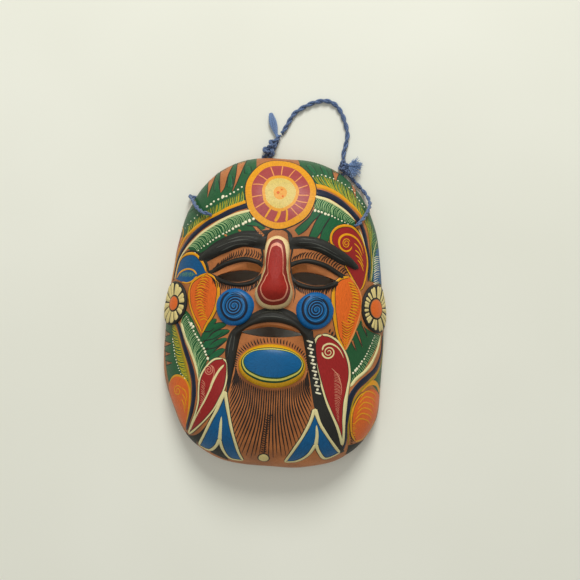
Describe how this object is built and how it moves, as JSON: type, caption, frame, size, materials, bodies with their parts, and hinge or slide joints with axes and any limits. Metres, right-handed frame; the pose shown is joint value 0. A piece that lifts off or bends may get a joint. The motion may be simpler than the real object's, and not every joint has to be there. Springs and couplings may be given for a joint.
{
  "type": "folk art mask",
  "caption": "Hollow clay wall mask with raised brows, nose, lids, moustache, lip and cheek bosses, cut eye and mouth slots, and a knotted hanging cord.",
  "frame": {"origin": "on the table under the middle of the clay mask's box, the cord left out", "axes": "+Y towards the crown, +Z out of the face, +X to the right as the face is looked at"},
  "size_m": [0.1438, 0.2441, 0.059],
  "materials": {
    "bare_clay": "fired terracotta, thinly varnished on the face",
    "red_paint": "brushed dark red, varnished",
    "black_paint": "brushed black, varnished",
    "blue_paint": "brushed blue, varnished",
    "cream_paint": "cream line work, varnished",
    "blue_cord": "twisted synthetic twine",
    "yellow_paint": "warm yellow line work, varnished",
    "orange_paint": "brushed orange, varnished",
    "green_paint": "brushed dark green, varnished",
    "navy_paint": "navy blue bands, varnished",
    "rose_paint": "brushed rose, varnished",
    "light_green_paint": "fine pale green hair strokes, varnished",
    "brown_clay": "cut clay edges with thin brown wash"
  },
  "bodies": {
    "root": {"mask_shell": "bare_clay", "nose": "red_paint", "brow_left": "black_paint", "brow_right": "black_paint", "upper_lid_left": "black_paint", "upper_lid_right": "black_paint", "lower_lid_left": "black_paint", "lower_lid_right": "black_paint", "moustache": "black_paint", "lip_boss": "blue_paint", "cheek_left": "blue_paint", "cheek_right": "blue_paint", "ear_rosette_left": "cream_paint", "ear_rosette_right": "cream_paint", "knot_left": "blue_cord", "knot_right": "blue_cord", "tail_left": "blue_cord", "tuft_right": "blue_cord", "tie_left": "blue_cord", "tie_right": "blue_cord"},
    "hanger": {"hanger_loop": "blue_cord"}
  },
  "joints": [
    {"name": "hanger_swing", "type": "hinge", "parent": "root", "child": "hanger", "pos_m": [-0.002, 0.1173, 0.002], "axis": [0.9411, -0.3381, 0], "range_deg": [0, 90]}
  ]
}
